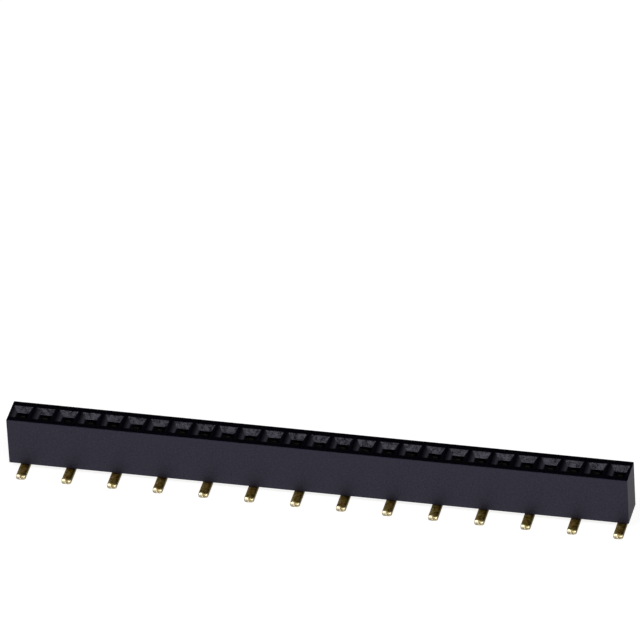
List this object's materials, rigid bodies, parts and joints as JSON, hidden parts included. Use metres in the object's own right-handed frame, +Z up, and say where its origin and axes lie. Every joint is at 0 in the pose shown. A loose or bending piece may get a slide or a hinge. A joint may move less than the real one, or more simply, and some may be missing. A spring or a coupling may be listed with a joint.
{
  "type": "female pin header strip",
  "caption": "Single-row surface-mount socket strip: a black moulded housing with square funnel sockets over gold spring contacts, their flat solder tails alternating front and rear.",
  "frame": {"origin": "middle of the strip's footprint, in the plane that the undersides of the solder tails stand on", "axes": "+X along the row from the first socket to the last, -Y to the side where the odd places' tails leave, +Z up out of the board towards the sockets' mouths"},
  "size_m": [0.054, 0.006, 0.005],
  "materials": {
    "housing": "matt moulded glass-filled nylon, fine spark-eroded grain inside the socket mouths",
    "contact": "thin gold plating over rolled phosphor bronze, satin"
  },
  "bodies": {
    "root": {"housing": "housing", "contact_01": "contact", "contact_02": "contact", "contact_03": "contact", "contact_04": "contact", "contact_05": "contact", "contact_06": "contact", "contact_07": "contact", "contact_08": "contact", "contact_09": "contact", "contact_10": "contact", "contact_11": "contact", "contact_12": "contact", "contact_13": "contact", "contact_14": "contact", "contact_15": "contact", "contact_16": "contact", "contact_17": "contact", "contact_18": "contact", "contact_19": "contact", "contact_20": "contact", "contact_21": "contact", "contact_22": "contact", "contact_23": "contact", "contact_24": "contact", "contact_25": "contact", "contact_26": "contact", "contact_27": "contact"}
  },
  "joints": []
}
